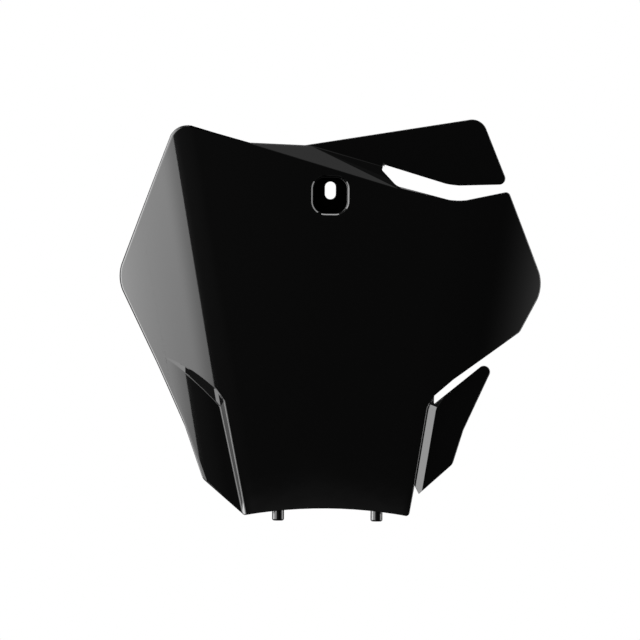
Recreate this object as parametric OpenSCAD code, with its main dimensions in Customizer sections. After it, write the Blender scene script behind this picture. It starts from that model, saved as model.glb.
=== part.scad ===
// Front number plate for an off-road motorbike, one moulded piece.
// Millimetres. x to the right as seen from the front, y to the back, z up.
// The origin is the middle of the screw slot, on the seat the screw head rests on.

/* [Moulding] */
// Wall thickness
wall = 2.5; // [1.5:0.1:4]
// How far the screw seat lies behind the front face
recess_depth = 7; // [4:0.5:12]

/* [Bend] */
// Half width of the flat middle, square to the bend lines
flat_half_w = 78; // [50:1:100]
// Radius of the bend that sweeps each wing back
bend_r = 110; // [60:5:200]
// Lean of the bend lines from upright, in degrees
bend_lean = 9.9; // [0:0.1:20]
// Depth of the back edge that the solid is cut at
back_y = 75; // [60:5:120]

/* [Outline of the panel] */
// Top left corner before rounding
top_left = [-99.4, 43.1]; // [-300:0.1:300]
// Radius of the top left corner
top_left_r = 12; // [2:0.5:30]
// Left wing tip before rounding
left_tip = [-137.8, -57.1]; // [-300:0.1:300]
// Radius of both wing tips
tip_r = 25; // [5:1:50]
// Upper bend of the left lower edge
left_edge_a = [-110.3, -112.5]; // [-300:0.1:300]
// Lower bend of the left lower edge
left_edge_b = [-92.5, -150.8]; // [-300:0.1:300]
// Lowest outer corner of the left fin before rounding
left_fin_low = [-80.1, -185.8]; // [-300:0.1:300]
// Radius of the low corner of each fin
fin_low_r = 8; // [2:0.5:20]
// Bottom left corner of the panel
bottom_left = [-53.4, -208.7]; // [-300:0.1:300]
// Bottom right corner of the panel
bottom_right = [52.3, -208.3]; // [-300:0.1:300]
// Radius of the two bottom corners
bottom_r = 2.5; // [1:0.5:10]
// Radius of the hollow bottom edge
bottom_arc_r = 295; // [200:5:600]
// Height of the middle of the hollow bottom edge
bottom_arc_z = -203.9; // [-230:0.1:-150]
// Right wing tip before rounding
right_tip = [139, -60.1]; // [-300:0.1:300]
// Lower corner of the right wing before rounding
right_wing_low = [123, -89.8]; // [-300:0.1:300]
// Radius of the lower corner of the right wing
right_wing_low_r = 7; // [2:0.5:30]
// Upper corner of the right wing
right_wing_top = [114.5, 0.3]; // [-300:0.1:300]
// Radius of the upper corner of the right wing
right_wing_top_r = 3; // [1:0.5:10]

/* [Neck] */
// Where the neck edge would meet the lower edge of the right wing
neck = [64, -134.5]; // [-300:0.1:300]
// Radius of the neck
neck_r = 18; // [5:1:60]

/* [Upper hose slot] */
// Lowest point of the slot
slot_low = [81.4, -6.9]; // [-300:0.1:300]
// Radius of the bend at the lowest point
slot_low_r = 40; // [5:1:100]
// Lower edge near the closed end
slot_in_a = [42.5, 3]; // [-300:0.1:300]
// Radius where the lower edge turns up
slot_in_r = 9; // [2:0.5:20]
// Closed end of the slot, lower side
slot_end_a = [33.1, 13.5]; // [-300:0.1:300]
// Closed end of the slot, upper side
slot_end_b = [34.1, 17.3]; // [-300:0.1:300]
// Radius at the closed end
slot_end_r = 1.2; // [0.5:0.1:4]
// Bend of the upper edge
slot_top = [78.7, 4.2]; // [-300:0.1:300]
// Radius of the bend of the upper edge
slot_top_r = 60; // [5:1:100]

/* [Upper wing] */
// Lower corner of the upper wing
upper_low = [115, 5.6]; // [-300:0.1:300]
// Radius of the lower corner
upper_low_r = 4; // [1:0.5:10]
// Top corner of the upper wing
upper_top = [97.6, 48.5]; // [-300:0.1:300]
// Radius of the top corner
upper_top_r = 10; // [2:0.5:30]
// Where the wing leaves the step
upper_root = [-12.7, 28.7]; // [-300:0.1:300]
// Depth of the wing there, behind the front face
upper_root_deep = 8; // [4:0.5:20]
// How fast the wing falls back to the right, mm per mm
upper_back_x = 0.15; // [0:0.01:0.4]
// How fast the wing falls back upward, mm per mm
upper_back_z = 0.06; // [-0.2:0.01:0.4]

/* [Step to the upper wing] */
// Left end of the step's front edge
step_left = [-52.8, 29.2]; // [-300:0.1:300]
// Right end of the step's front edge
step_right = [45, 0.5]; // [-300:0.1:300]
// Foot of the step at the slot
step_foot = [32.4, 16.2]; // [-300:0.1:300]
// Left end of the rear edge of the step
rear_left = [-51.8, 29.9]; // [-300:0.1:300]
// Right end of the rear edge of the step
rear_right = [-16.6, 28.9]; // [-300:0.1:300]

/* [Left fin] */
// Point near the outer edge where the fin runs out of the wing's face
left_fin_root = [-107, -105]; // [-300:0.1:300]
// Half width of the flat part of the fin, square to the bend lines
left_fin_flat_w = 96.2; // [80:0.1:120]
// Depth of the fin behind the front face at the bottom left corner
left_fin_low_deep = 2.8; // [1:0.1:6]
// Slope of the upper step wall
left_step_slope = 0.75; // [0.2:0.05:3]
// Slope of the lower step wall
left_step_low_slope = 1.35; // [0.2:0.05:3]
// Slope of the wall that cuts the corner between them
left_step_mid_slope = 1.05; // [0.2:0.05:3]
// Point on the front edge of the upper step wall
left_step_a = [-92.1, -113.8]; // [-300:0.1:300]
// Second point on the front edge of the upper step wall
left_step_b = [-75.9, -125.1]; // [-300:0.1:300]
// Point on the front edge of the lower step wall
left_step_c = [-65, -144.2]; // [-300:0.1:300]
// Second point on the front edge of the lower step wall
left_step_d = [-53.2, -204]; // [-300:0.1:300]
// Point on the front edge of the wall that cuts the corner
left_step_mid = [-69.3, -132.1]; // [-300:0.1:300]

/* [Right fin] */
// Inner end of the upper edge
right_fin_in = [67.8, -136.6]; // [-300:0.1:300]
// Tip of the fin before rounding
right_fin_tip = [110.8, -101.9]; // [-300:0.1:300]
// Radius of the tip
right_fin_tip_r = 4; // [1:0.5:10]
// Bend of the outer edge
right_fin_edge = [87.1, -153.3]; // [-300:0.1:300]
// Low corner of the fin before rounding
right_fin_low = [80.3, -175.3]; // [-300:0.1:300]
// Foot of the step wall at the bottom of the fin
right_foot_low = [60.6, -194.4]; // [-300:0.1:300]
// Foot of the step wall at the top of the fin
right_foot_top = [69.8, -137.8]; // [-300:0.1:300]
// Lower end of the step wall on the neck edge
right_wall_end = [55.7, -188.8]; // [-300:0.1:300]
// Width of the steep strip along the top of the step wall
right_lip_w = 1; // [0.5:0.1:3]
// How steeply that strip falls back, mm per mm
right_lip_slope = 3; // [2:0.1:5]
// How fast the rest of the step wall falls back, mm per mm
right_wall_slope = 1.15; // [0.5:0.05:2]
// How fast the fin falls back to the right, mm per mm
right_fin_back_x = 0.22; // [0:0.01:0.5]
// Lower end of the step wall's own edge
right_wall_tip = [58.6, -194.4]; // [-300:0.1:300]
// Bend of the wing's lower edge over the hose gap
gap_bend = [80, -120.6]; // [-300:0.1:300]
// Closed end of the hose gap, upper side
gap_end = [67.8, -131.1]; // [-300:0.1:300]

/* [Screw recess] */
// Width of the recess
recess_w = 22.8; // [15:0.1:40]
// Height of the recess
recess_h = 24.3; // [15:0.1:40]
// Corner radius of the recess
recess_r = 8.2; // [2:0.5:12]
// How far the middle of the recess lies below the slot's middle
recess_drop = 3.2; // [0:0.1:10]
// Width of the screw slot
screw_slot_w = 7; // [4:0.1:12]
// Height of the screw slot
screw_slot_h = 11.4; // [6:0.1:24]

/* [Lugs] */
// Diameter of a lug
lug_d = 7.7; // [4:0.1:14]
// Distance between the two lugs
lug_gap = 63.2; // [30:0.1:90]
// Length of a lug below its shelf
lug_len = 9.6; // [4:0.1:20]
// How far the underside of a shelf lies above the middle of the bottom edge
shelf_rise = 1.3; // [0:0.1:10]
// Width of a shelf, which also sets how far it stands behind the lug
shelf_w = 11; // [8:0.5:20]
// Thickness of a gusset
gusset_t = 1.8; // [1:0.1:4]
// Height of a gusset
gusset_h = 14; // [6:0.5:30]
// Distance of the lugs' axes behind the seat plane
lug_y = 1; // [-4:0.5:12]
// Bevel on a lug's end
lug_bevel = 0.8; // [0:0.1:2]

/* [Hidden] */
$fn = 96;

front_y = -recess_depth;
reach = 2 * (right_tip[0] - left_tip[0]);
shelf_z = bottom_arc_z + shelf_rise;
lug_end_z = shelf_z - lug_len;

// Unit direction from p to q
function toward(p, q) = (q - p) / norm(q - p);

// Depth behind the front face of the swept surface at p
function swept(p, flat_w) =
  let (w = abs(p[0]) * cos(bend_lean) - p[1] * sin(bend_lean) - flat_w)
  w > 0 ? bend_r - sqrt(bend_r * bend_r - w * w) : 0;

// Place of p along the bend lines, growing downward
function down_bend(p) = -abs(p[0]) * sin(bend_lean) - p[1] * cos(bend_lean);

// Height at x of the straight line through p and q
function line_at(p, q, x) = p[1] + (q[1] - p[1]) * (x - p[0]) / (q[0] - p[0]);

// Slopes in x and z of the plane through three points with depths
function slopes(p, q, s) =
  let (
    a = q - p,
    b = s - p,
    det = a[0] * b[1] - a[1] * b[0]
  )
  [(a[2] * b[1] - b[2] * a[1]) / det, (a[0] * b[2] - b[0] * a[2]) / det];

// A flat outline of the front view, stood up and run from the front to the back
module upright(y0 = front_y - 8 * wall, y1 = back_y) {
  translate([0, y1, 0])
    rotate([90, 0, 0])
      linear_extrude(height = y1 - y0)
        children();
}

// All that lies behind a sloping plane through p at depth deep, taken in by d
module behind(p, deep, slope, d) {
  n = sqrt(1 + slope[0] * slope[0] + slope[1] * slope[1]);
  translate([p[0], front_y + deep, p[1]])
    rotate([-asin(slope[1] / n), 0, atan(slope[0])])
      translate([-reach, d, -reach])
        cube([2 * reach, reach, 2 * reach]);
}

// All that lies in front of the same plane
module before(p, deep, slope, d) {
  n = sqrt(1 + slope[0] * slope[0] + slope[1] * slope[1]);
  translate([p[0], front_y + deep, p[1]])
    rotate([-asin(slope[1] / n), 0, atan(slope[0])])
      translate([-reach, d - reach, -reach])
        cube([2 * reach, reach, 2 * reach]);
}

// Right half of a flat sheet that bends back, with all that lies behind it
module swept_half(d, flat_w) {
  translate([-reach, d, -reach])
    cube([reach + flat_w, reach, 2 * reach]);
  translate([flat_w, bend_r, -reach])
    rotate([0, 0, -90])
      rotate_extrude(angle = 89, $fn = 360)
        square([bend_r - d, 2 * reach]);
}

// The whole swept sheet with all that lies behind it
module swept_body(d) {
  for (side = [0, 1])
    mirror([side, 0, 0])
      intersection() {
        translate([0, front_y, 0])
          rotate([0, bend_lean, 0])
            swept_half(d, flat_half_w);
        translate([0, front_y - wall, -reach])
          cube([reach, back_y + wall - front_y, 2 * reach]);
      }
}

// Piece between a corner and the arc that rounds it
module corner_piece(a, p, b, r) {
  u = toward(p, a);
  v = toward(p, b);
  half = acos(u * v) / 2;
  mid = (u + v) / norm(u + v);
  run = r / tan(half);
  over = r / 8;
  out_a = -(mid - (mid * u) * u) / norm(mid - (mid * u) * u);
  out_b = -(mid - (mid * v) * v) / norm(mid - (mid * v) * v);
  difference() {
    polygon([
      p - mid * over / sin(half),
      p + u * run + out_a * over,
      p + u * run,
      p + v * run,
      p + v * run + out_b * over
    ]);
    translate(p + mid * r / sin(half))
      circle(r = r / cos(5), $fn = 180);
  }
}

// Outline whose corners are [point, radius, inward], a radius of 0 staying sharp
module rounded_outline(corners) {
  n = len(corners);
  difference() {
    union() {
      polygon([for (c = corners) c[0]]);
      for (i = [0:n - 1])
        if (corners[i][1] > 0 && corners[i][2])
          corner_piece(corners[(i + n - 1) % n][0], corners[i][0], corners[(i + 1) % n][0], corners[i][1]);
    }
    for (i = [0:n - 1])
      if (corners[i][1] > 0 && !corners[i][2])
        corner_piece(corners[(i + n - 1) % n][0], corners[i][0], corners[(i + 1) % n][0], corners[i][1]);
  }
}

// Front view outline of the whole plate
module plate_outline() {
  difference() {
    rounded_outline([
      [top_left, top_left_r, false],
      [left_tip, tip_r, false],
      [left_edge_a, 0, false],
      [left_edge_b, 0, false],
      [left_fin_low, fin_low_r, false],
      [bottom_left, bottom_r, false],
      [bottom_right, bottom_r, false],
      [right_wall_end, 0, false],
      [right_wall_tip, 0, false],
      [right_fin_low, fin_low_r, false],
      [right_fin_edge, 0, false],
      [right_fin_tip, right_fin_tip_r, false],
      [right_fin_in, 0, false],
      [gap_end, 0, false],
      [gap_bend, 0, false],
      [right_wing_low, right_wing_low_r, false],
      [right_tip, tip_r, false],
      [right_wing_top, right_wing_top_r, false],
      [slot_low, slot_low_r, true],
      [slot_in_a, slot_in_r, true],
      [slot_end_a, slot_end_r, true],
      [slot_end_b, slot_end_r, true],
      [slot_top, slot_top_r, false],
      [upper_low, upper_low_r, false],
      [upper_top, upper_top_r, false],
      [rear_right, 0, false],
      [rear_left, 0, false]
    ]);
    translate([0, bottom_arc_z - bottom_arc_r])
      circle(r = bottom_arc_r, $fn = 720);
  }
}

// Middle line of the hose slot from its closed end to the open air on the right
function slot_line() =
  let (
    inner = [slot_in_a[0], (slot_in_a[1] + line_at(slot_end_b, slot_top, slot_in_a[0])) / 2],
    low = (slot_low + slot_top) / 2,
    mouth = (right_wing_top + upper_low) / 2
  )
  [slot_end_b, inner, low, [reach, line_at(low, mouth, reach)]];

// Middle line of the hose gap from its closed end to the open air on the right
function gap_line() =
  let (
    bend = [gap_bend[0], (gap_bend[1] + line_at(right_fin_in, right_fin_tip, gap_bend[0])) / 2],
    mouth = [right_fin_tip[0], (right_fin_tip[1] + line_at(gap_bend, right_wing_low, right_fin_tip[0])) / 2]
  )
  [(gap_end + right_fin_in) / 2, bend, [reach, line_at(bend, mouth, reach)]];

// Area where the swept sheet is the front surface, its far side hidden behind the upper wing
module panel_area() {
  line = slot_line();
  polygon(concat([[-reach, reach], [line[0][0], reach]], line, [[reach, -reach], [-reach, -reach]]));
}

// Area of the upper wing, its lower side hidden behind the panel
module upper_area() {
  line = slot_line();
  left = (3 * step_left[0] + upper_root[0]) / 4;
  polygon(concat([[left, reach], [left, slot_in_a[1]], [line[0][0], slot_in_a[1]]], line, [[reach, reach]]));
}

// Area to the right of the neck and below the hose gap
module right_notch_area() {
  line = gap_line();
  left = bottom_right[0] - 2 * wall;
  polygon(concat([[left, -reach], [left, gap_bend[1]], [line[0][0], gap_bend[1]]], line, [[reach, -reach]]));
}

// Everything behind the front face of the panel and of the step, taken in by d
module panel_body(d) {
  run = toward(step_left, step_right);
  up = [-run[1], run[0]];
  root_rise = (upper_root - step_left) * up;
  upper_slope = upper_root_deep / root_rise;
  foot_deep = upper_root_deep
    + upper_back_x * (step_foot[0] - upper_root[0])
    + upper_back_z * (step_foot[1] - upper_root[1]);
  intersection() {
    swept_body(d);
    union() {
      intersection() {
        behind(step_left, 0, up * upper_slope, d);
        behind(step_right, 0, slopes(
          [step_right[0], step_right[1], 0],
          [upper_root[0], upper_root[1], upper_root_deep],
          [step_foot[0], step_foot[1], foot_deep]
        ), d);
      }
      translate([step_right[0], front_y - wall, -reach])
        cube([reach, reach, 2 * reach]);
    }
    upright() panel_area();
  }
}

// Everything behind the front face of the upper wing, taken in by d
module upper_body(d) {
  intersection() {
    behind(upper_root, upper_root_deep, [upper_back_x, upper_back_z], d);
    upright() upper_area();
  }
}

// Everything behind the left fin's front face, taken in by d
module left_fin_body(d) {
  root_deep = swept(left_fin_root, flat_half_w) - swept(left_fin_root, left_fin_flat_w);
  fall = (root_deep - left_fin_low_deep) / (down_bend(bottom_left) - down_bend(left_fin_root));
  translate([0, front_y, 0])
    mirror([1, 0, 0])
      rotate([0, bend_lean, 0])
        translate([0, root_deep, -down_bend(left_fin_root)])
          rotate([-atan(fall), 0, 0])
            swept_half(d, left_fin_flat_w);
}

// Space in front of the left fin, let into the panel further by d
module left_notch(d) {
  upper_run = toward(left_step_a, left_step_b);
  lower_run = toward(left_step_c, left_step_d);
  upper_out = [upper_run[1], -upper_run[0]];
  lower_out = [lower_run[1], -lower_run[0]];
  mid_out = (upper_out + lower_out) / norm(upper_out + lower_out);
  deep_a = swept(left_step_a, flat_half_w);
  deep_b = swept(left_step_b, flat_half_w);
  foot = left_step_b + upper_out;
  difference() {
    intersection() {
      before(left_step_a, deep_a, slopes(
        [left_step_a[0], left_step_a[1], deep_a],
        [left_step_b[0], left_step_b[1], deep_b],
        [foot[0], foot[1], deep_b + left_step_slope]
      ), d);
      before(left_step_c, swept(left_step_c, flat_half_w), lower_out * left_step_low_slope, d);
      before(left_step_mid, swept(left_step_mid, flat_half_w), mid_out * left_step_mid_slope, d);
      translate([-reach, front_y - 8 * wall, -reach])
        cube([reach, reach, reach]);
    }
    left_fin_body(d);
  }
}

// Unit direction away from the neck edge, to the right
function neck_out() =
  let (edge = toward(bottom_right, neck))
  [edge[1], -edge[0]];

// Depth of the right step wall at p
function right_wall_deep(p) =
  right_lip_w * right_lip_slope + ((p - bottom_right) * neck_out() - right_lip_w) * right_wall_slope;

// Slopes of the right fin
function right_fin_slopes() =
  let (
    fall = right_wall_deep(right_foot_top) - right_wall_deep(right_foot_low),
    span = right_foot_top - right_foot_low
  )
  [right_fin_back_x, (fall - right_fin_back_x * span[0]) / span[1]];

// Space in front of the right fin, let into the panel further by d
module right_notch(d) {
  out = neck_out();
  lower = toward(neck, gap_bend);
  lower_out = [lower[1], -lower[0]];
  bisector = (out + lower_out) / norm(out + lower_out);
  arc_mid = neck + bisector * neck_r / (bisector * out);
  intersection() {
    intersection_for (turn = [0, 0.25, 0.5, 0.75, 0.97]) {
      between = out * (1 - turn) + lower_out * turn;
      aim = between / norm(between);
      start = arc_mid - aim * neck_r;
      deep = swept(start, flat_half_w);
      intersection() {
        before(start, deep, aim * right_lip_slope, d);
        if (turn < 0.6)
          before(start + aim * right_lip_w, deep + right_lip_w * right_lip_slope, aim * right_wall_slope, d);
      }
    }
    before(right_foot_top, right_wall_deep(right_foot_top), right_fin_slopes(), d);
    upright() right_notch_area();
  }
}

// The recess for the screw head, grown by d
module recess(d) {
  w = recess_w / 2 - recess_r;
  h = recess_h / 2 - recess_r;
  upright(front_y - 8 * wall, d)
    translate([0, -recess_drop])
      union() {
        square([recess_w + 2 * d, 2 * h], center = true);
        square([2 * w, recess_h + 2 * d], center = true);
        for (x = [-w, w], z = [-h, h])
          translate([x, z])
            circle(r = recess_r + d);
      }
}

// The whole body behind the front surface, taken in by d
module body(d) {
  difference() {
    union() {
      panel_body(d);
      upper_body(d);
    }
    left_notch(d);
    right_notch(d);
    recess(d);
  }
}

module screw_slot() {
  side = screw_slot_h / 2 - screw_slot_w / 2;
  upright(front_y, 2 * wall)
    union() {
      square([screw_slot_w, 2 * side], center = true);
      for (z = [-side, side])
        translate([0, z])
          circle(d = screw_slot_w);
    }
}

// One lug under a small shelf with two gussets on the back of the panel
module lug() {
  shelf_y = front_y + wall / 2;
  shelf_back = lug_y + shelf_w / 2;
  translate([lug_gap / 2, lug_y, lug_end_z]) {
    cylinder(r1 = lug_d / 2 - lug_bevel, r2 = lug_d / 2, h = lug_bevel);
    translate([0, 0, lug_bevel])
      cylinder(d = lug_d, h = shelf_z - lug_end_z - lug_bevel);
  }
  translate([lug_gap / 2 - shelf_w / 2, shelf_y, shelf_z])
    cube([shelf_w, shelf_back - shelf_y, wall]);
  for (side = [0, shelf_w - gusset_t])
    translate([lug_gap / 2 - shelf_w / 2 + side, 0, 0])
      rotate([90, 0, 90])
        linear_extrude(height = gusset_t)
          polygon([
            [shelf_y, shelf_z + wall / 2],
            [shelf_back, shelf_z + wall / 2],
            [shelf_back, shelf_z + wall + gusset_t],
            [shelf_y + wall, shelf_z + gusset_h],
            [shelf_y, shelf_z + gusset_h]
          ]);
}

module number_plate() {
  color([0.04, 0.04, 0.045]) {
    difference() {
      intersection() {
        difference() {
          body(0);
          body(wall);
        }
        upright() plate_outline();
      }
      screw_slot();
    }
    lug();
    mirror([1, 0, 0])
      lug();
  }
}

number_plate();
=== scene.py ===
import math

import bmesh
import bpy
from mathutils import Matrix, Vector


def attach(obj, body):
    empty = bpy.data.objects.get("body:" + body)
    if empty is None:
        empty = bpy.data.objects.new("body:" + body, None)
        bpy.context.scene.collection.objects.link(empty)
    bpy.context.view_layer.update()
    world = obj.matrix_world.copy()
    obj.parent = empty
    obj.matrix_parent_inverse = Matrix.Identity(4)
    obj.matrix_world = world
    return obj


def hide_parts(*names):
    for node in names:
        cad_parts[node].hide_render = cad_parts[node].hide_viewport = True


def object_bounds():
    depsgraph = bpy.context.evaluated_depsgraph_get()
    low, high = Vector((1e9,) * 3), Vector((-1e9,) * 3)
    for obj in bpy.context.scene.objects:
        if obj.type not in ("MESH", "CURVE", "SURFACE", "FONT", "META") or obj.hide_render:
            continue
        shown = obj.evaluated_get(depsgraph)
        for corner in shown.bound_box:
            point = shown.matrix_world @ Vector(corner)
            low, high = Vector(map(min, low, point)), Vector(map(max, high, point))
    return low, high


bl_info = {
    "name": "Front number plate",
    "version": (1, 0, 0),
    "blender": (4, 5, 0),
    "location": "3D View > Sidebar > Number plate",
    "description": "Dresses the moulded front number plate of an off-road motorbike",
    "category": "Object",
}

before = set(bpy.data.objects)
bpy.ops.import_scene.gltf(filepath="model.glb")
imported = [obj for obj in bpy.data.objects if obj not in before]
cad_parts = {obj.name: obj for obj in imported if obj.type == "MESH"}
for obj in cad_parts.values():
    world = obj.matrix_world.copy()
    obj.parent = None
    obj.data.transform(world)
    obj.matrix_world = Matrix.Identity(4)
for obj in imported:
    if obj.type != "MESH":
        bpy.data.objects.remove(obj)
cad_low, cad_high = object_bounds()

MM = 0.001


# Helpers

def rgb_from_hex(text):
    """An sRGB hex colour as linear red, green and blue."""
    channels = []
    for start in (0, 2, 4):
        level = int(text[start:start + 2], 16) / 255
        if level <= 0.04045:
            channels.append(level / 12.92)
        else:
            channels.append(((level + 0.055) / 1.055) ** 2.4)
    return tuple(channels)


def add_node(tree, kind, settings=None, inputs=None):
    """Adds a node, sets its properties, and sets or links its inputs."""
    row, column = divmod(len(tree.nodes), 6)
    node = tree.nodes.new(kind)
    node.location = (240 * column, -320 * row)
    for name, value in (settings or {}).items():
        setattr(node, name, value)
    for name, value in (inputs or {}).items():
        if isinstance(value, bpy.types.NodeSocket):
            tree.links.new(value, node.inputs[name])
        else:
            node.inputs[name].default_value = value
    return node


def ramp(tree, value, low, high, start, end, shape="SMOOTHSTEP"):
    """A level that goes from start to end while the value goes from low to high."""
    node = add_node(
        tree, "ShaderNodeMapRange",
        {"interpolation_type": shape},
        {"Value": value, "From Min": low, "From Max": high, "To Min": start, "To Max": end},
    )
    return node.outputs["Result"]


def combine(tree, operation, one, two):
    """The result of one sum, product or other operation on two values."""
    return add_node(tree, "ShaderNodeMath", {"operation": operation}, {0: one, 1: two}).outputs[0]


def show_white_to_camera(tree, inner, white, kind, socket):
    """Ends a tree so that the camera sees plain white and every reflection sees the inner shader."""
    paths = add_node(tree, "ShaderNodeLightPath")
    mix = add_node(tree, "ShaderNodeMixShader", inputs={"Fac": paths.outputs["Is Camera Ray"]})
    tree.links.new(inner, mix.inputs[1])
    tree.links.new(white, mix.inputs[2])
    add_node(tree, kind, inputs={socket: mix.outputs["Shader"]})


def empty_tree(owner):
    """Turns nodes on for a material, a world or a lamp, and clears them."""
    owner.use_nodes = True
    owner.node_tree.nodes.clear()
    return owner.node_tree


def select_only(thing):
    """Makes one object the only selected one, and the active one."""
    bpy.ops.object.select_all(action="DESELECT")
    thing.select_set(True)
    bpy.context.view_layer.objects.active = thing


# Sizes and colours that a user would change

class PlateSettings(bpy.types.PropertyGroup):
    rim_round: bpy.props.FloatProperty(
        name="Rim rounding",
        description="Radius on the front of the rims, apart from the left wing",
        default=0.7 * MM,
        min=0.1 * MM,
        max=2.1 * MM,
        unit="LENGTH",
    )
    left_rim_round: bpy.props.FloatProperty(
        name="Left rim rounding",
        description="Radius on the front of the left wing's outer rim",
        default=1.9 * MM,
        min=0.1 * MM,
        max=2.1 * MM,
        unit="LENGTH",
    )
    corner_round: bpy.props.FloatProperty(
        name="Corner rounding",
        description="Half width of the rounded corner between the walls of the left step",
        default=1.4 * MM,
        min=0.1 * MM,
        max=1.6 * MM,
        unit="LENGTH",
    )
    step_round: bpy.props.FloatProperty(
        name="Step rounding",
        description="Radius along the edges and feet of the step walls",
        default=0.55 * MM,
        min=0.1 * MM,
        max=1.0 * MM,
        unit="LENGTH",
    )
    small_round: bpy.props.FloatProperty(
        name="Small rounding",
        description="Radius on the lugs, on their shelves and on the rims of the back",
        default=0.25 * MM,
        min=0.05 * MM,
        max=0.6 * MM,
        unit="LENGTH",
    )
    edge_steps: bpy.props.IntProperty(
        name="Edge steps",
        description="Number of faces across a rounded edge",
        default=3,
        min=1,
        max=6,
    )
    recess_chamfer: bpy.props.FloatProperty(
        name="Recess chamfer",
        description="Width of the chamfer round the screw recess",
        default=0.72 * MM,
        min=0.1 * MM,
        max=1.2 * MM,
        unit="LENGTH",
    )
    plastic_colour: bpy.props.FloatVectorProperty(
        name="Plastic colour",
        description="Colour of the pigmented plastic",
        subtype="COLOR",
        default=rgb_from_hex("040404"),
        min=0,
        max=1,
    )
    face_gloss: bpy.props.FloatProperty(
        name="Front roughness",
        description="Roughness of the polished front",
        default=0.04,
        min=0,
        max=1,
    )
    back_gloss: bpy.props.FloatProperty(
        name="Back roughness",
        description="Roughness of the back, where the mould is only ground",
        default=0.22,
        min=0,
        max=1,
    )
    # Painted shade: the recess gets a darker colour than the rest of the plastic, standing in for the
    # shade that falls in it
    recess_shade_colour: bpy.props.FloatVectorProperty(
        name="Recess colour",
        description="Colour of the dull screw recess",
        subtype="COLOR",
        default=rgb_from_hex("010101"),
        min=0,
        max=1,
    )
    recess_gloss: bpy.props.FloatProperty(
        name="Recess roughness",
        description="Roughness of the dull screw recess",
        default=0.5,
        min=0,
        max=1,
    )
    # Painted shade: at 0 the recess shows no reflection at all, which stands in for the shade that
    # falls in it
    recess_painted_shade_shine: bpy.props.FloatProperty(
        name="Recess shine",
        description="Strength of the reflection in the dull screw recess, where 0.5 is plain plastic",
        default=0.0,
        min=0,
        max=1,
    )
    ripple_size: bpy.props.FloatProperty(
        name="Ripple size",
        description="Width of the faint waves in the moulded surface",
        default=9 * MM,
        min=1 * MM,
        max=50 * MM,
        unit="LENGTH",
    )


class StudioSettings(bpy.types.PropertyGroup):
    camera_distance: bpy.props.FloatProperty(
        name="Camera distance",
        description="Distance from the camera to the front of the plate",
        default=2.5,
        min=0.5,
        max=10,
        unit="LENGTH",
    )
    picture_width: bpy.props.FloatProperty(
        name="Picture width",
        description="Width that the picture covers at the front of the plate",
        default=409.6 * MM,
        unit="LENGTH",
    )
    picture_turn: bpy.props.FloatProperty(
        name="Picture turn",
        description="How far the plate looks turned clockwise in the picture",
        default=0.0096,
        subtype="ANGLE",
    )
    floor_drop: bpy.props.FloatProperty(
        name="Floor drop",
        description="Distance from the lowest point of the plate to the floor",
        default=260 * MM,
        unit="LENGTH",
    )
    floor_width: bpy.props.FloatProperty(
        name="Floor width",
        description="Side of the square floor",
        default=1.6,
        unit="LENGTH",
    )
    floor_colour: bpy.props.FloatVectorProperty(
        name="Floor colour",
        description="Colour that the floor shows in reflections; the camera sees it white",
        subtype="COLOR",
        default=rgb_from_hex("404040"),
        min=0,
        max=1,
    )
    room_light: bpy.props.FloatProperty(
        name="Room light",
        description="Brightness of the dim room that the flat panel mirrors",
        default=0.036,
        min=0,
        max=1,
    )
    wall_light: bpy.props.FloatProperty(
        name="Wall light",
        description="Brightness of the white walls at the sides",
        default=0.456,
        min=0,
        max=2,
    )
    side_light: bpy.props.FloatProperty(
        name="Side light",
        description="Brightness of the large softbox on the left",
        default=4.4,
        min=0,
        max=20,
    )
    left_rim_light: bpy.props.FloatProperty(
        name="Left rim light",
        description="Brightness of the tall softbox at the far left, which lights the rims",
        default=9.0,
        min=0,
        max=20,
    )
    right_rim_light: bpy.props.FloatProperty(
        name="Right rim light",
        description="Brightness of the tall softbox at the far right, which lights the rims",
        default=4.5,
        min=0,
        max=20,
    )
    top_light: bpy.props.FloatProperty(
        name="Top light",
        description="Brightness of the softbox overhead",
        default=7.0,
        min=0,
        max=20,
    )


# Finish

# Height of the waves, and size of the patches where the gloss varies a little, in millimetres
RIPPLE_HEIGHT = 0.004
FLOW_SIZE = 45.0


def moulded_plastic(name, colour, roughness, ripple, shine=0.5):
    """Polypropylene, pigmented black through, injected into a polished steel mould.

    The eye gets a near black body, one clear sharp reflection of the room, and faint slow
    waves in it where the wall cooled unevenly.
    """
    material = bpy.data.materials.new(name)
    tree = empty_tree(material)
    place = add_node(tree, "ShaderNodeTexCoord")
    waves = add_node(
        tree, "ShaderNodeTexNoise",
        {"noise_dimensions": "3D"},
        {"Vector": place.outputs["Object"], "Scale": 1 / ripple, "Detail": 1.0, "Roughness": 0.4},
    )
    bump = add_node(
        tree, "ShaderNodeBump",
        inputs={"Height": waves.outputs["Fac"], "Strength": 1.0, "Distance": RIPPLE_HEIGHT * MM},
    )
    flow_scale = 1 / (FLOW_SIZE * MM)
    flow = add_node(
        tree, "ShaderNodeTexNoise",
        {"noise_dimensions": "3D"},
        {"Vector": place.outputs["Object"], "Scale": flow_scale, "Detail": 3.0, "Roughness": 0.55},
    )
    haze = ramp(tree, flow.outputs["Fac"], 0.3, 0.7, roughness * 0.8, roughness * 1.25, "LINEAR")
    shader = add_node(
        tree, "ShaderNodeBsdfPrincipled",
        inputs={
            "Base Color": (*colour, 1),
            "Roughness": haze,
            "IOR": 1.5,
            "Specular IOR Level": shine,
            "Normal": bump.outputs["Normal"],
        },
    )
    add_node(tree, "ShaderNodeOutputMaterial", inputs={"Surface": shader.outputs["BSDF"]})
    return material


# The plate

# Material slots: the faces of the solid, the rounded edges, the recess with its painted shade and the
# back
MAIN_SLOT = 0
EDGE_SLOT = 1
PAINTED_SHADE_RECESS_SLOT = 2
BACK_SLOT = 3

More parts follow.
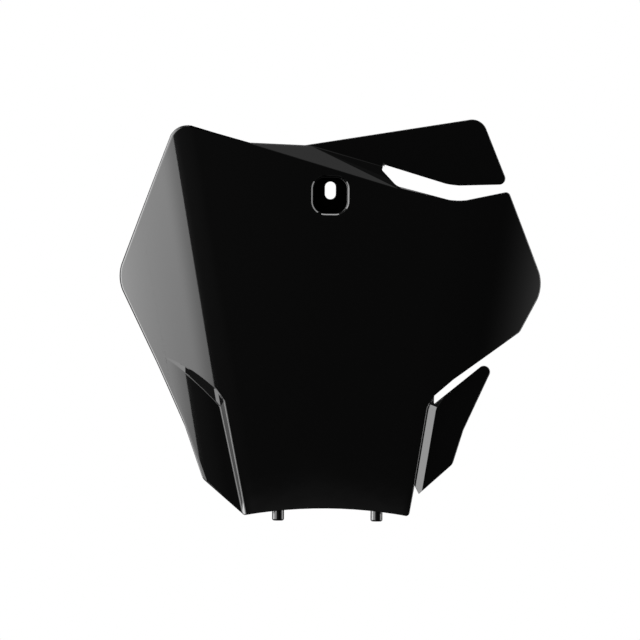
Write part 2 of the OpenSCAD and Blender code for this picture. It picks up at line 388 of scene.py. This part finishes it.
# Places and sizes that part.scad gives, in millimetres
FRONT_Y = -7.0
WALL = 2.5
BEND_R = 110.0
BEND_LEAN = math.radians(9.9)
PANEL_FLAT = 78.0
FIN_FLAT = 96.2
FIN_ROOT = (-107.0, -105.0)
FIN_LOW_DEEP = 2.8
BOTTOM_LEFT = (-53.4, -208.7)
RECESS_DROP = 3.2
RECESS_W = 22.8
RECESS_H = 24.3
SLOT_W = 7.0
SLOT_H = 11.4
LUG_GAP = 63.2
LUG_SHELF_W = 11.0

# Corners of the solid nearer than this are one corner, and faces within this angle are one face
WELD = 0.02
FLAT_ANGLE = math.radians(0.5)
# Least turn in degrees between the two faces of an edge at which it is rounded
LUG_TURN = 40
STEP_TURN = 21
RIM_TURN = 45
WALL_TURN = 50
# Past this turn the two faces nearly fold back on each other, and the edge stays sharp
FOLD_BACK_TURN = 135
# The least share of a face's direction along Y that makes it look to the front or the back
FACE_ON = 0.3
# Depth of the recess chamfer as a share of its width
CHAMFER_FALL = 0.9
# Where the dull part of the recess, which also gets painted shade, starts behind its chamfer, and ends
# behind its floor
DULL_SHADED_FROM = -5.9
DULL_SHADED_TO = 0.1
# The short end of the upper step beside the hose slot, which stays sharp
SLOT_SHOULDER = Vector((45.0, -5.5, 1.4))
SHOULDER_REACH = 4.0
SHOULDER_SIDE = 44.9
# The notch at the foot of the right wall, which has no room for a wide rounding
WALL_FOOT = (55.7, -188.8)
WALL_FOOT_REACH = 8.0
# The rim of the left wing grows rounder between these two places
LEFT_RIM_FROM = -80.0
LEFT_RIM_TO = -105.0
# The left step: the corner between its walls, the way that its upper wall faces, the way that the
# rounded corner and the fading end face, and where that end begins
LEFT_STEP_CORNER = Vector((-72.3, -4.5, -131.9))
LEFT_STEP_UPPER = Vector((-0.567, -1.0, -0.519)).normalized()
LEFT_STEP_TURNED = Vector((-0.49, -0.867, -0.087)).normalized()
LEFT_STEP_END = -92.0


def swept_depth(point, flat):
    """Depth of a swept sheet at a point of the front view."""
    over = abs(point[0]) * math.cos(BEND_LEAN) - point[1] * math.sin(BEND_LEAN) - flat
    if over <= 0:
        return 0.0
    return BEND_R - math.sqrt(BEND_R ** 2 - over ** 2)


def down_bend(point):
    """Place of a point along the bend lines, growing downward."""
    return -abs(point[0]) * math.sin(BEND_LEAN) - point[1] * math.cos(BEND_LEAN)


def swept_sheets():
    """The three swept sheets, each as the place of its bend and the half width of its flat part."""
    flip = Matrix.Diagonal((-1, 1, 1, 1))
    to_front = Matrix.Translation((0, FRONT_Y, 0))
    lean = Matrix.Rotation(BEND_LEAN, 4, "Y")
    root_deep = swept_depth(FIN_ROOT, PANEL_FLAT) - swept_depth(FIN_ROOT, FIN_FLAT)
    fall = (root_deep - FIN_LOW_DEEP) / (down_bend(BOTTOM_LEFT) - down_bend(FIN_ROOT))
    fin = (
        to_front @ flip @ lean
        @ Matrix.Translation((0, root_deep, -down_bend(FIN_ROOT)))
        @ Matrix.Rotation(-math.atan(fall), 4, "X")
    )
    return [
        (to_front @ lean, PANEL_FLAT),
        (to_front @ flip @ lean, PANEL_FLAT),
        (fin, FIN_FLAT),
    ]


def sheet_normal(place, flat, point):
    """Outward direction of a swept sheet at a point, and the depth of that point in the sheet."""
    local = place.inverted() @ (point / MM)
    over = local.x - flat
    if over <= 0:
        return (place.to_3x3() @ Vector((0, -1, 0))).normalized(), local.y
    out = Vector((over, local.y - BEND_R, 0))
    return (place.to_3x3() @ out).normalized(), BEND_R - out.length


def find_sheet(face, sheets):
    """The sheet that a face belongs to, and 1 for its front or -1 for its back."""
    for place, flat in sheets:
        local = place.inverted() @ (face.center / MM)
        if local.x < -1:
            continue
        out, depth = sheet_normal(place, flat, face.center)
        for side, level in ((1, 0.0), (-1, WALL)):
            if abs(depth - level) < 0.15 and face.normal.dot(out) * side > math.cos(math.radians(6)):
                return place, flat, side
    return None


def facing(mesh, face, vertex, home, around):
    """The direction that a main face shows at one of its corners."""
    if home[face.index]:
        place, flat, side = home[face.index]
        out, depth = sheet_normal(place, flat, mesh.vertices[vertex].co)
        return out * side
    if is_left_step_wall(face):
        return LEFT_STEP_TURNED if face.center.x / MM < LEFT_STEP_END else LEFT_STEP_UPPER
    total = Vector((0, 0, 0))
    for other in around[vertex]:
        curved = not is_face_on(face) and not is_face_on(other)
        near = other.normal.dot(face.normal) > math.cos(math.radians(32 if curved else 1))
        if home[other.index] is None and near:
            total += other.normal
    return total.normalized()


def lay_normals(mesh):
    """Gives the swept sheets and the flat walls their exact normals, so that reflections run
    true over them, and lets each rounded edge turn evenly from one to the next."""
    sheets = swept_sheets()
    around = {}
    edge_total = {}
    home = {}
    for face in mesh.polygons:
        if face.material_index == MAIN_SLOT:
            home[face.index] = find_sheet(face, sheets)
        for vertex in face.vertices:
            if face.material_index == MAIN_SLOT:
                around.setdefault(vertex, []).append(face)
            else:
                edge_total.setdefault(vertex, Vector((0, 0, 0)))
                edge_total[vertex] += face.normal * face.area

    normals = [None] * len(mesh.loops)
    for face in mesh.polygons:
        by_corner = (face.center / MM - LEFT_STEP_CORNER).length < 4
        for loop in face.loop_indices:
            vertex = mesh.loops[loop].vertex_index
            if face.material_index == MAIN_SLOT:
                normals[loop] = facing(mesh, face, vertex, home, around)
            elif by_corner and face.normal.dot(LEFT_STEP_UPPER) > 0.93:
                normals[loop] = LEFT_STEP_TURNED
            elif vertex in around:
                nearest = max(around[vertex], key=lambda other: other.normal.dot(face.normal))
                normals[loop] = facing(mesh, nearest, vertex, home, around)
            else:
                normals[loop] = edge_total[vertex].normalized()
    mesh.shade_smooth()
    mesh.normals_split_custom_set(normals)


def is_left_step_wall(face):
    """Whether a face lies in the upper wall of the left step."""
    return face.normal.dot(LEFT_STEP_UPPER) > math.cos(math.radians(2))


def part_left_step(mesh):
    """Parts the upper wall of the left step where it starts to fade out."""
    shape = bmesh.new()
    shape.from_mesh(mesh)
    wall = [
        face for face in shape.faces
        if face.material_index == MAIN_SLOT and is_left_step_wall(face)
    ]
    edges = {edge for face in wall for edge in face.edges}
    corners = {vertex for face in wall for vertex in face.verts}
    bmesh.ops.bisect_plane(
        shape,
        geom=wall + list(edges) + list(corners),
        plane_co=(LEFT_STEP_END * MM, 0, 0),
        plane_no=(1, 0, 0),
    )
    shape.to_mesh(mesh)
    shape.free()


def is_face_on(face):
    """Whether a face looks to the front or to the back, and is no side wall."""
    return abs(face.normal.y) > FACE_ON


def near_lug(point):
    """Whether a point in millimetres is on a lug, its shelf or its gussets."""
    beside = abs(abs(point.x) - LUG_GAP / 2)
    return point.z < -185 and point.y > FRONT_Y + WALL + 0.2 and beside < LUG_SHELF_W / 2 + 0.5


def in_recess(point, margin):
    """Whether a point in millimetres is in front view within the recess, widened by a margin."""
    inside_x = abs(point.x) < RECESS_W / 2 + margin
    inside_z = abs(point.z + RECESS_DROP) < RECESS_H / 2 + margin
    return inside_x and inside_z


def by_shoulder(point):
    """Whether a point in millimetres is on the short end of the upper step."""
    return (point - SLOT_SHOULDER).length < SHOULDER_REACH and point.x > SHOULDER_SIDE


def by_wall_foot(point):
    """Whether a point in millimetres is by the notch at the foot of the right wall."""
    return math.hypot(point.x - WALL_FOOT[0], point.z - WALL_FOOT[1]) < WALL_FOOT_REACH


def edge_radius(edge, look):
    """The radius that the mould leaves on an edge, and 0 where it stays as it is."""
    if not edge.is_manifold:
        return 0.0
    one, two = edge.link_faces
    turn = math.degrees(one.normal.angle(two.normal))
    ends = [vertex.co / MM for vertex in edge.verts]
    middle = (ends[0] + ends[1]) / 2
    if abs(middle.x) < SLOT_W / 2 + 0.5 and abs(middle.z) < SLOT_H / 2 + 0.5:
        return 0.0
    if near_lug(middle):
        return look.small_round if turn > LUG_TURN else 0.0
    if all(by_shoulder(end) for end in ends):
        return 0.0
    if any(by_wall_foot(end) for end in ends):
        return look.small_round if STEP_TURN < turn < FOLD_BACK_TURN else 0.0
    if 7 < turn < 15 and (middle - LEFT_STEP_CORNER).length < 6:
        return look.corner_round
    if in_recess(middle, 1.5) and middle.y < FRONT_Y + WALL - 0.1:
        return 0.0
    if is_face_on(one) and is_face_on(two):
        # The left step fades out at its far end, with no line round it
        if middle.x < LEFT_STEP_END:
            return 0.0
        return look.step_round if turn > STEP_TURN else 0.0
    if is_face_on(one) or is_face_on(two):
        if turn <= RIM_TURN:
            return 0.0
        front = one if is_face_on(one) else two
        if front.normal.y > 0:
            return look.small_round
        share = min(max((LEFT_RIM_FROM - middle.x) / (LEFT_RIM_FROM - LEFT_RIM_TO), 0), 1)
        return look.rim_round + share * (look.left_rim_round - look.rim_round)
    return look.step_round if turn > WALL_TURN else 0.0


def on_recess_rim(edge):
    """Whether an edge is on the front rim of the screw recess."""
    return all(
        abs(vertex.co.y / MM - FRONT_Y) < 0.05 and in_recess(vertex.co / MM, 0.1)
        for vertex in edge.verts
    )


def chamfer_recess(plate, width):
    """Cuts the flat chamfer round the front of the screw recess."""
    bpy.ops.object.mode_set(mode="EDIT")
    bpy.ops.mesh.select_mode(type="EDGE")
    bpy.ops.mesh.select_all(action="DESELECT")
    shape = bmesh.from_edit_mesh(plate.data)
    for edge in shape.edges:
        if on_recess_rim(edge):
            edge.select_set(True)
    bmesh.update_edit_mesh(plate.data)
    bpy.ops.mesh.bevel(
        offset=width, segments=1, affect="EDGES", clamp_overlap=False, material=MAIN_SLOT
    )
    bpy.ops.object.mode_set(mode="OBJECT")
    # A little flatter than 45 degrees, so that each side clears the other in the reflection
    for vertex in plate.data.vertices:
        point = vertex.co / MM
        if in_recess(point, 0.2) and abs(point.y - FRONT_Y - width / MM) < 0.05:
            vertex.co.y = FRONT_Y * MM + width * CHAMFER_FALL


def round_edges(plate, look):
    """Rounds each edge by its own radius, and puts the new faces in a slot of their own."""
    widest = max(look.rim_round, look.left_rim_round, look.corner_round, look.step_round)
    shape = bmesh.new()
    shape.from_mesh(plate.data)
    weight = shape.edges.layers.float.new("bevel_weight_edge")
    for edge in shape.edges:
        edge[weight] = edge_radius(edge, look) / widest
    shape.to_mesh(plate.data)
    shape.free()
    rounding = plate.modifiers.new("Rounding", "BEVEL")
    rounding.width = widest
    rounding.segments = look.edge_steps
    rounding.limit_method = "WEIGHT"
    rounding.use_clamp_overlap = False
    rounding.loop_slide = False
    rounding.material = EDGE_SLOT
    bpy.ops.object.modifier_apply(modifier=rounding.name)


def dress_faces(mesh):
    """Gives the recess its dull finish with painted shade, a darker colour and no reflection, and the
    back its satin one.
    """
    for face in mesh.polygons:
        if face.material_index != MAIN_SLOT:
            continue
        middle = face.center / MM
        dull = in_recess(middle, 0) and DULL_SHADED_FROM < middle.y < DULL_SHADED_TO
        # Faces in the recess take the rough material with painted shade
        if dull and face.normal.y < 0.1:
            face.material_index = PAINTED_SHADE_RECESS_SLOT
        elif face.normal.y > FACE_ON:
            face.material_index = BACK_SLOT


class PLATE_OT_moulding(bpy.types.Operator):
    """Round the edges of the moulded plate and give it its gloss black finish"""
    bl_idname = "plate.moulding"
    bl_label = "Number plate"
    bl_options = {"REGISTER", "UNDO"}

    def execute(self, context):
        look = context.scene.plate_settings
        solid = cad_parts["number_plate"]
        plate = bpy.data.objects.new("plate_moulding", solid.data.copy())
        context.scene.collection.objects.link(plate)
        plate.data.materials.clear()
        front = moulded_plastic(
            "gloss_polypropylene_front", look.plastic_colour, look.face_gloss, look.ripple_size
        )
        plate.data.materials.append(front)
        plate.data.materials.append(front)
        # The recess was sparked and left dull in the mould, which gives its roughness; its darker
        # colour and its reflection turned off are painted shade
        plate.data.materials.append(moulded_plastic(
            "dull_polypropylene_recess_painted_shade", look.recess_shade_colour, look.recess_gloss, look.ripple_size,
            look.recess_painted_shade_shine,
        ))
        # The core side of the mould is only ground, so the back is satin
        plate.data.materials.append(moulded_plastic(
            "satin_polypropylene_back", look.plastic_colour, look.back_gloss, look.ripple_size
        ))
        select_only(plate)

        bpy.ops.object.mode_set(mode="EDIT")
        bpy.ops.mesh.select_all(action="SELECT")
        bpy.ops.mesh.remove_doubles(threshold=WELD * MM)
        bpy.ops.mesh.customdata_custom_splitnormals_clear()
        bpy.ops.mesh.dissolve_limited(angle_limit=FLAT_ANGLE)
        bpy.ops.object.mode_set(mode="OBJECT")

        chamfer_recess(plate, look.recess_chamfer)
        round_edges(plate, look)
        part_left_step(plate.data)
        lay_normals(plate.data)
        dress_faces(plate.data)

        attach(plate, "root")
        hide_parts("number_plate")
        return {"FINISHED"}


# The studio

# The point of the plate that the picture is centred on, in millimetres
PICTURE_MIDDLE = Vector((-5.86, 0, -83.26))


def softbox(name, middle, facing, along, width, height, brightness):
    """A rectangular lamp. Its height runs along the given direction."""
    lamp = bpy.data.lights.new(name, "AREA")
    lamp.shape = "RECTANGLE"
    lamp.size = width
    lamp.size_y = height
    # A lamp of one watt per steradian and square metre has an energy of pi times its area
    lamp.energy = math.pi * width * height * brightness
    holder = bpy.data.objects.new(name, lamp)
    back = -Vector(facing).normalized()
    up = Vector(along)
    up = (up - up.dot(back) * back).normalized()
    side = up.cross(back)
    turn = Matrix((side, up, back)).transposed().to_4x4()
    holder.matrix_world = Matrix.Translation(middle) @ turn
    holder.visible_camera = False
    bpy.context.scene.collection.objects.link(holder)
    return holder


def fade_across(holder, near_level, far_level, low_level, high_level):
    """Makes a softbox brighter towards one side and one end, and dimmer at its near edge."""
    tree = empty_tree(holder.data)
    place = add_node(tree, "ShaderNodeNewGeometry")
    across = add_node(tree, "ShaderNodeSeparateXYZ", inputs={"Vector": place.outputs["Parametric"]})
    level = ramp(tree, across.outputs["X"], 0, 1, far_level, near_level, "LINEAR")
    edge = ramp(tree, across.outputs["X"], 0.78, 1.0, 1, 0.66)
    height = ramp(tree, across.outputs["Y"], 0.44, 0.56, low_level, high_level, "LINEAR")
    total = combine(tree, "MULTIPLY", combine(tree, "MULTIPLY", level, edge), height)
    light = add_node(tree, "ShaderNodeEmission", inputs={"Color": (1, 1, 1, 1), "Strength": total})
    add_node(tree, "ShaderNodeOutputLight", inputs={"Surface": light.outputs["Emission"]})


class PLATE_OT_studio(bpy.types.Operator):
    """Make the white floor, the lamps, the white surroundings and the camera"""
    bl_idname = "plate.studio"
    bl_label = "Studio"
    bl_options = {"REGISTER", "UNDO"}

    def execute(self, context):
        studio = context.scene.studio_settings
        self.make_floor(context, studio)
        self.make_surroundings(context, studio)
        self.make_lamps(studio)
        self.make_camera(context, studio)
        return {"FINISHED"}

    def make_floor(self, context, studio):
        bpy.ops.object.select_all(action="DESELECT")
        bpy.ops.mesh.primitive_plane_add(
            size=studio.floor_width,
            location=(0, 0, cad_low.z - studio.floor_drop),
        )
        floor = context.active_object
        floor.name = "studio_floor"
        material = bpy.data.materials.new("white_floor")
        tree = empty_tree(material)
        matt = add_node(
            tree, "ShaderNodeBsdfDiffuse",
            inputs={"Color": (*studio.floor_colour, 1)},
        )
        white = add_node(
            tree, "ShaderNodeEmission",
            inputs={"Color": (1, 1, 1, 1), "Strength": 1.0},
        )
        show_white_to_camera(
            tree, matt.outputs["BSDF"], white.outputs["Emission"], "ShaderNodeOutputMaterial", "Surface"
        )
        floor.data.materials.append(material)

    def make_surroundings(self, context, studio):
        """A dim room with white walls at its sides, and plain white to the camera.

        Its levels follow the direction that the plate mirrors: x to the right, y away from the
        camera and z up.
        """
        world = bpy.data.worlds.new("white_studio")
        context.scene.world = world
        tree = empty_tree(world)
        place = add_node(tree, "ShaderNodeTexCoord")
        axes = add_node(tree, "ShaderNodeSeparateXYZ", inputs={"Vector": place.outputs["Generated"]})
        x, y, z = axes.outputs["X"], axes.outputs["Y"], axes.outputs["Z"]
        aside = add_node(tree, "ShaderNodeMath", {"operation": "ABSOLUTE"}, {0: x}).outputs[0]

        # Nearly dark behind the plate, which leaves a fine dark line along the rims
        behind = ramp(tree, y, -0.1, 0.5, 0, 0.02)

        # The side walls grow brighter away from the camera, and stop below the ceiling
        ceiling = combine(
            tree, "MULTIPLY", ramp(tree, z, 0.5, 0.8, 0, 1), ramp(tree, y, -0.22, -0.1, 0, 1)
        )
        rise = combine(tree, "POWER", ramp(tree, y, -0.8, -0.25, 0, 1, "LINEAR"), 1.7)
        walls = combine(tree, "MULTIPLY", rise, studio.wall_light)
        walls = combine(tree, "MULTIPLY", walls, combine(tree, "SUBTRACT", 1.0, ceiling))
        walls = combine(tree, "MULTIPLY", walls, ramp(tree, y, 0.15, 0.35, 1, 0))

        # A pale strip overhead, which the long facet under the upper wing mirrors
        above = combine(
            tree, "MULTIPLY", ramp(tree, z, 0.85, 0.9, 0, 0.13), ramp(tree, y, -0.24, -0.2, 1, 0)
        )

        # Light that the left softbox spills beside its near edge, mostly upward
        spill = combine(
            tree, "MULTIPLY",
            ramp(tree, x, -0.32, -0.25, 0.1, 0.03, "LINEAR"),
            ramp(tree, z, -0.1, 0.01, 0.2, 2.2),
        )
        spill = combine(tree, "MULTIPLY", spill, ramp(tree, x, -0.25, 0, 1, 0, "LINEAR"))

        # The far floor in front, which the bottom edge of the flat panel mirrors in a slight curve
        curve = combine(tree, "ADD", z, combine(tree, "MULTIPLY", aside, 0.175))
        far_floor = combine(
            tree, "MULTIPLY",
            ramp(tree, curve, -0.05, -0.0405, 0.16, 0, "LINEAR"),
            ramp(tree, aside, 0.08, 0.2, 1, 0),
        )
        far_floor = combine(tree, "MULTIPLY", far_floor, ramp(tree, y, -0.9, -0.6, 1, 0))

        level = combine(tree, "MAXIMUM", behind, walls)
        for part in (spill, above, far_floor, studio.room_light):
            level = combine(tree, "ADD", level, part)
        room = add_node(
            tree, "ShaderNodeBackground",
            inputs={"Color": (1, 1, 1, 1), "Strength": level},
        )
        white = add_node(
            tree, "ShaderNodeBackground",
            inputs={"Color": (1, 1, 1, 1), "Strength": 1.0},
        )
        show_white_to_camera(
            tree, room.outputs["Background"], white.outputs["Background"],
            "ShaderNodeOutputWorld", "Surface",
        )

    def make_lamps(self, studio):
        # The softbox on the left has its near edge parallel to the fold of the plate, so the
        # reflection of that edge ends in one straight line down the wing
        along = Vector((-math.sin(BEND_LEAN), 0, math.cos(BEND_LEAN)))
        outward = Vector((-math.cos(BEND_LEAN), 0, -math.sin(BEND_LEAN)))
        ahead = Vector((0, -1, 0))
        fold = Vector((-110.0, 0, -70.0)) * MM
        near_turn = math.radians(17.2)
        far_turn = math.radians(85)
        reach = 1.6
        near = fold + (outward * math.sin(near_turn) + ahead * math.cos(near_turn)) * reach
        far = fold + (outward * math.sin(far_turn) + ahead * math.cos(far_turn)) * reach
        middle = (near + far) / 2
        width = (far - near).length
        left = softbox(
            "softbox_left", middle, fold - middle, along, width, 3.0, studio.side_light
        )
        fade_across(left, near_level=1.0, far_level=1.4, low_level=0.8, high_level=1.2)
        # Two tall softboxes at the sides, a little behind the plate, light its rims
        softbox(
            "softbox_left_side", Vector((-1.9, 0.25, 0.7)), Vector((1, -0.1, 0)), Vector((0, 0, 1)),
            0.9, 4.6, studio.left_rim_light,
        )
        softbox(
            "softbox_right_side", Vector((1.7, 0.12, 0.6)), Vector((-1, 0, 0)), Vector((0, 0, 1)),
            0.85, 4.2, studio.right_rim_light,
        )
        softbox(
            "softbox_top", Vector((0, -0.06, 1.6)), Vector((0, 0, -1)), Vector((1, 0, 0)),
            0.28, 0.9, studio.top_light,
        )

    def make_camera(self, context, studio):
        camera = bpy.data.cameras.new("camera")
        camera.sensor_width = 36
        camera.lens = 36 * studio.camera_distance / studio.picture_width
        camera.clip_end = 50
        holder = bpy.data.objects.new("camera", camera)
        middle = PICTURE_MIDDLE * MM
        middle.y = FRONT_Y * MM - studio.camera_distance
        level = Matrix.Rotation(math.radians(90), 4, "X")
        roll = Matrix.Rotation(-studio.picture_turn, 4, "Y")
        holder.matrix_world = Matrix.Translation(middle) @ roll @ level
        context.scene.collection.objects.link(holder)
        context.scene.camera = holder
        context.scene.view_settings.view_transform = "Standard"


class PLATE_PT_panel(bpy.types.Panel):
    """The number plate's pieces and studio, in the sidebar of the 3D view"""
    bl_idname = "PLATE_PT_panel"
    bl_label = "Number plate"
    bl_space_type = "VIEW_3D"
    bl_region_type = "UI"
    bl_category = "Number plate"

    def draw(self, context):
        layout = self.layout
        plate = layout.box()
        plate.operator("plate.moulding")
        for name in PlateSettings.__annotations__:
            plate.prop(context.scene.plate_settings, name)
        studio = layout.box()
        studio.operator("plate.studio")
        for name in StudioSettings.__annotations__:
            studio.prop(context.scene.studio_settings, name)


CLASSES = (
    PlateSettings,
    StudioSettings,
    PLATE_OT_moulding,
    PLATE_OT_studio,
    PLATE_PT_panel,
)


def register():
    for kind in CLASSES:
        bpy.utils.register_class(kind)
    bpy.types.Scene.plate_settings = bpy.props.PointerProperty(type=PlateSettings)
    bpy.types.Scene.studio_settings = bpy.props.PointerProperty(type=StudioSettings)


def unregister():
    del bpy.types.Scene.studio_settings
    del bpy.types.Scene.plate_settings
    for kind in reversed(CLASSES):
        bpy.utils.unregister_class(kind)


def main():
    register()
    bpy.ops.plate.moulding()
    bpy.ops.plate.studio()


if __name__ == "__main__":
    main()
